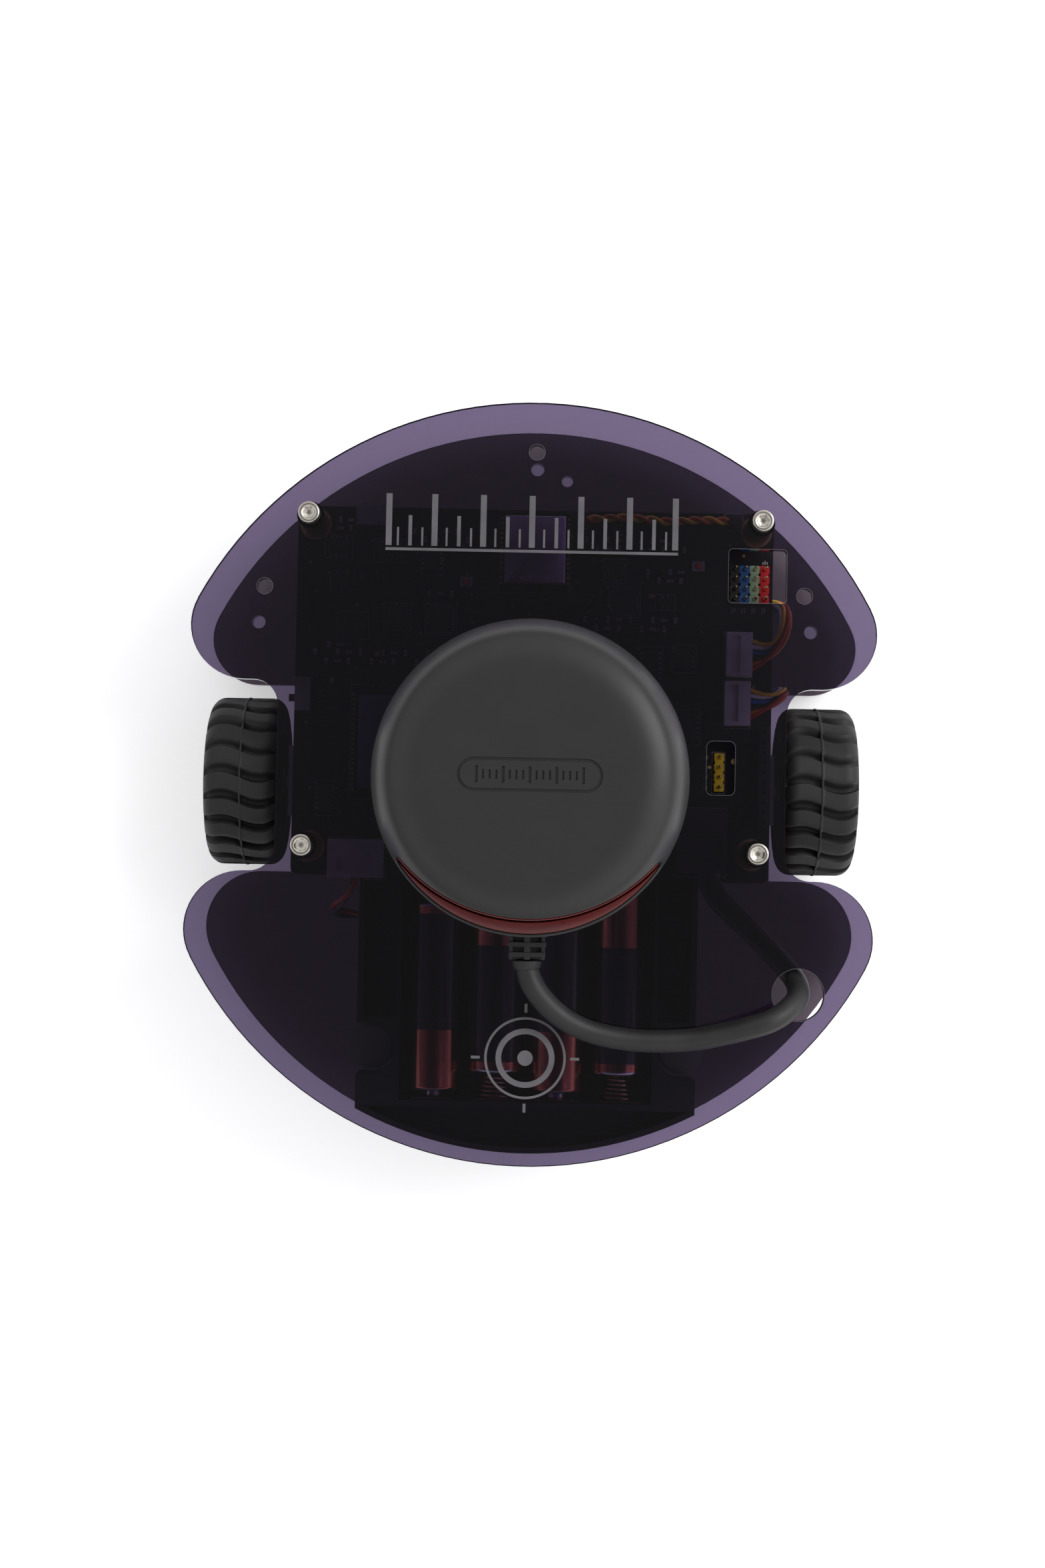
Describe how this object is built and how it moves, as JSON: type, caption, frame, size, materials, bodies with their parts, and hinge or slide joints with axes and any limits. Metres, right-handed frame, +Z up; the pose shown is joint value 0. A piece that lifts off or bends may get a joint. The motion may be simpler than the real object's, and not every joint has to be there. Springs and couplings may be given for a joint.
{
  "type": "wheeled robot",
  "caption": "Round differential-drive mapping robot with tinted acrylic decks, rubber-tyred wheels, control board and a spinning laser scanner on top.",
  "frame": {"origin": "on the floor, under the centre of the round decks", "axes": "+Y towards the front, +X to the right, +Z up; wheel axles along X"},
  "size_m": [0.171, 0.19, 0.0908],
  "materials": {
    "acrylic": "clear smoke-purple acrylic",
    "column": "turned, satin",
    "screw": "bright nickel plate",
    "board": "black solder mask",
    "shield": "tinned can",
    "module": "blue-violet module",
    "package": "moulded epoxy",
    "small_part": "ceramic with tinned ends",
    "led": "red diffused",
    "socket_metal": "stamped tin plate",
    "header_black": "moulded",
    "header_blue": "moulded",
    "header_green": "moulded",
    "header_red": "moulded",
    "header_yellow": "moulded",
    "pin": "gold flash",
    "plug_white": "nylon",
    "socket_dark": "moulded",
    "slider": "moulded",
    "tray": "fine-textured",
    "cell": "printed sleeve with a metallic band",
    "contact": "plated spring",
    "lead": "PVC wire",
    "gearbox": "machined plates",
    "motor": "drawn can",
    "encoder_board": "green solder mask",
    "magnet": "bonded magnet",
    "shaft": "ground",
    "bracket": "folded sheet",
    "rim": "moulded",
    "tyre": "soft moulded tread",
    "scanner_body": "matte",
    "scanner_head": "soft matte",
    "window": "dark red infrared window",
    "turntable": "moulded",
    "cable": "satin jacket",
    "cup": "nylon",
    "ball": "polished steel"
  },
  "bodies": {
    "chassis": {"bottom_plate": "acrylic", "top_plate": "acrylic", "lower_standoffs": "column", "upper_standoffs": "column", "top_screws": "screw", "bottom_screws": "screw", "main_board": "board", "core_module": "shield", "driver_module": "module", "chips": "package", "passives": "small_part", "status_leds": "led", "usb_socket": "socket_metal", "servo_header_black": "header_black", "servo_header_blue": "header_blue", "servo_header_green": "header_green", "servo_header_red": "header_red", "debug_header": "header_yellow", "header_pins": "pin", "side_headers": "header_black", "motor_plugs": "plug_white", "battery_connector": "plug_white", "lidar_socket": "socket_dark", "power_switch": "socket_metal", "battery_tray": "tray", "battery_cell_1": "cell", "battery_cell_2": "cell", "battery_cell_3": "cell", "battery_cell_4": "cell", "battery_contacts": "contact", "inner_leads": "lead", "left_gearbox": "gearbox", "left_motor": "motor", "left_encoder_board": "encoder_board", "left_bracket": "bracket", "right_gearbox": "gearbox", "right_motor": "motor", "right_encoder_board": "encoder_board", "right_bracket": "bracket", "bracket_screws": "screw", "lidar_base": "scanner_body", "lidar_screws": "screw", "lidar_strain_relief": "cable", "lidar_cable": "cable", "caster_cups": "cup"},
    "left_wheel": {"left_shaft": "shaft", "left_rim": "rim", "left_tyre": "tyre"},
    "right_wheel": {"right_shaft": "shaft", "right_rim": "rim", "right_tyre": "tyre"},
    "left_encoder": {"left_encoder_disc": "magnet"},
    "right_encoder": {"right_encoder_disc": "magnet"},
    "scan_head": {"lidar_head": "scanner_head", "lidar_window": "window", "lidar_turntable": "turntable"},
    "switch": {"power_switch_slider": "slider"},
    "front_ball": {"caster_ball_front": "ball"},
    "left_ball": {"caster_ball_left": "ball"},
    "right_ball": {"caster_ball_right": "ball"}
  },
  "joints": [
    {"name": "left_wheel_spin", "type": "hinge", "parent": "chassis", "child": "left_wheel", "pos_m": [-0.0734, 0, 0.02175], "axis": [1, 0, 0], "continuous": true},
    {"name": "right_wheel_spin", "type": "hinge", "parent": "chassis", "child": "right_wheel", "pos_m": [0.0734, 0, 0.02175], "axis": [1, 0, 0], "continuous": true},
    {"name": "left_encoder_spin", "type": "hinge", "parent": "chassis", "child": "left_encoder", "pos_m": [-0.0315, 0, 0.02175], "axis": [1, 0, 0], "continuous": true},
    {"name": "right_encoder_spin", "type": "hinge", "parent": "chassis", "child": "right_encoder", "pos_m": [0.0315, 0, 0.02175], "axis": [1, 0, 0], "continuous": true},
    {"name": "scan_spin", "type": "hinge", "parent": "chassis", "child": "scan_head", "pos_m": [0, 0, 0.07], "axis": [0, 0, 1], "continuous": true},
    {"name": "switch_slide", "type": "slide", "parent": "chassis", "child": "switch", "axis": [0, 1, 0], "range_m": [0, 0.002]},
    {"name": "front_ball_roll", "type": "hinge", "parent": "chassis", "child": "front_ball", "pos_m": [0, 0.06, 0.0045], "axis": [1, 0, 0], "continuous": true},
    {"name": "left_ball_roll", "type": "hinge", "parent": "chassis", "child": "left_ball", "pos_m": [-0.0406, -0.0686, 0.0045], "axis": [1, 0, 0], "continuous": true},
    {"name": "right_ball_roll", "type": "hinge", "parent": "chassis", "child": "right_ball", "pos_m": [0.0406, -0.0686, 0.0045], "axis": [1, 0, 0], "continuous": true}
  ],
  "couplings": [
    {"joint": "left_encoder_spin", "follows": "left_wheel_spin", "ratio": -30},
    {"joint": "right_encoder_spin", "follows": "right_wheel_spin", "ratio": -30}
  ]
}
